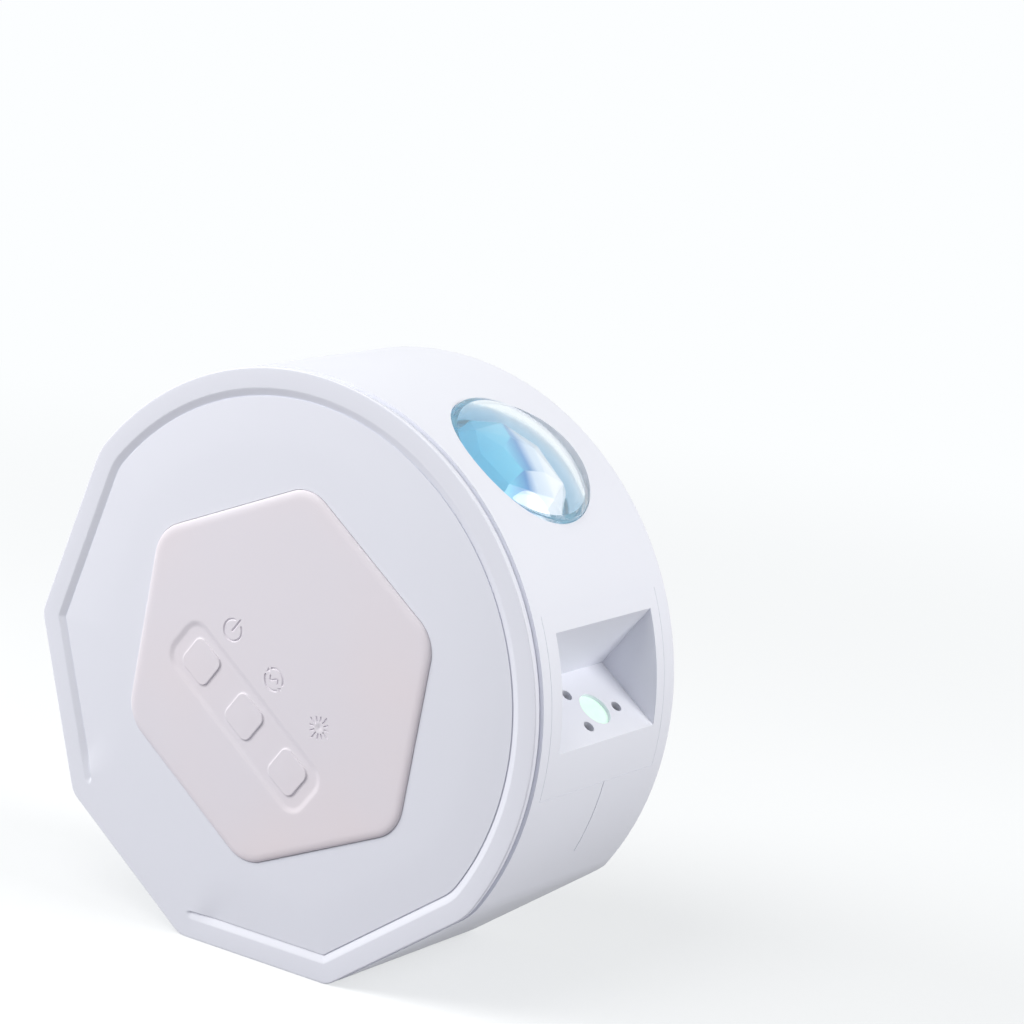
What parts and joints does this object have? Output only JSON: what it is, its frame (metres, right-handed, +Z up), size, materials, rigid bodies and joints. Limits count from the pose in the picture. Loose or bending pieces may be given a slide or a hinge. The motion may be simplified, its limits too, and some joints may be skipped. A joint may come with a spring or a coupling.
{
  "type": "star night light projector",
  "caption": "Drum-shaped star and nebula night light: half-round, half-faceted housing, silicone control pad, domed lens on the side and a laser pocket beside it.",
  "frame": {"origin": "middle of the facet that the drum stands on", "axes": "+Z up, face and buttons towards -Y, laser pocket towards +X; the lens looks up and 36 degrees towards +X"},
  "size_m": [0.1497, 0.0623, 0.1463],
  "materials": {
    "cover_plastic": "satin bluish-white ABS",
    "shell_plastic": "satin bluish-white ABS",
    "rear_plastic": "satin bluish-white ABS",
    "panel_plastic": "satin bluish-white ABS",
    "pad_silicone": "matte warm-white silicone",
    "key_silicone": "matte warm-white silicone",
    "lens_clear": "polished clear acrylic, tinted cyan by the lamp",
    "clear_acrylic": "rippled clear acrylic",
    "window_glass": "polished",
    "dark_plastic": "moulded black",
    "grey_plastic": "moulded grey",
    "white_plastic": "moulded white",
    "gear_plastic": "natural acetal",
    "board_green": "solder-masked circuit board",
    "led_phosphor": "phosphor dies",
    "cable_grey": "flat cable",
    "screw_steel": "zinc plated",
    "motor_steel": "plated can",
    "socket_steel": "tinned shell",
    "module_brass": "turned",
    "sink_aluminium": "extruded"
  },
  "bodies": {
    "housing": {"front_cover": "cover_plastic", "control_pad": "pad_silicone", "switch_bodies": "motor_steel", "key_board": "board_green", "key_board_screws": "screw_steel", "key_connector": "white_plastic", "ribbon_cable": "cable_grey", "drum_shell": "shell_plastic", "rear_cover": "rear_plastic", "rear_cover_screws": "screw_steel", "laser_panel": "panel_plastic", "laser_window": "window_glass", "laser_module": "module_brass", "laser_bracket": "sink_aluminium", "grating_motor": "motor_steel", "projector_lens": "lens_clear", "lens_barrel": "dark_plastic", "lens_barrel_screws": "screw_steel", "lens_spacer": "grey_plastic", "pattern_plate": "clear_acrylic", "disc_spindle": "screw_steel", "drive_motor": "motor_steel", "motor_screws": "screw_steel", "optics_frame": "grey_plastic", "bracket_screws": "screw_steel", "condenser_holder": "white_plastic", "condenser_lens": "clear_acrylic", "led_board": "sink_aluminium", "led_dies": "led_phosphor", "heat_sink": "sink_aluminium", "main_board": "board_green", "main_board_screws": "screw_steel", "board_components": "dark_plastic", "usb_socket": "socket_steel"},
    "key_power": {"button_power": "key_silicone", "plunger_power": "dark_plastic"},
    "key_mode": {"button_mode": "key_silicone", "plunger_mode": "dark_plastic"},
    "key_light": {"button_light": "key_silicone", "plunger_light": "dark_plastic"},
    "ripple": {"ring_gear": "gear_plastic", "ripple_disc": "clear_acrylic", "disc_hub": "gear_plastic"},
    "pinion": {"drive_pinion": "gear_plastic", "pinion_shaft": "screw_steel"},
    "grating": {"grating_disc": "clear_acrylic", "grating_hub": "gear_plastic"}
  },
  "joints": [
    {"name": "press_power", "type": "slide", "parent": "housing", "child": "key_power", "axis": [0, 1, 0], "range_m": [0, 0.0005], "stiffness_N_per_m": 1500, "springref_m": -0.0003},
    {"name": "press_mode", "type": "slide", "parent": "housing", "child": "key_mode", "axis": [0, 1, 0], "range_m": [0, 0.0005], "stiffness_N_per_m": 1500, "springref_m": -0.0003},
    {"name": "press_light", "type": "slide", "parent": "housing", "child": "key_light", "axis": [0, 1, 0], "range_m": [0, 0.0005], "stiffness_N_per_m": 1500, "springref_m": -0.0003},
    {"name": "ripple_spin", "type": "hinge", "parent": "housing", "child": "ripple", "pos_m": [0.0075, 0, 0.10717], "axis": [0.5878, 0, 0.809], "continuous": true},
    {"name": "pinion_spin", "type": "hinge", "parent": "housing", "child": "pinion", "pos_m": [-0.01681, 0, 0.12483], "axis": [0.5878, 0, 0.809], "continuous": true},
    {"name": "grating_spin", "type": "hinge", "parent": "housing", "child": "grating", "pos_m": [0.06023, -0.0035, 0.07256], "axis": [0.5878, 0, 0.809], "continuous": true}
  ],
  "couplings": [
    {"joint": "pinion_spin", "follows": "ripple_spin", "ratio": -4}
  ]
}
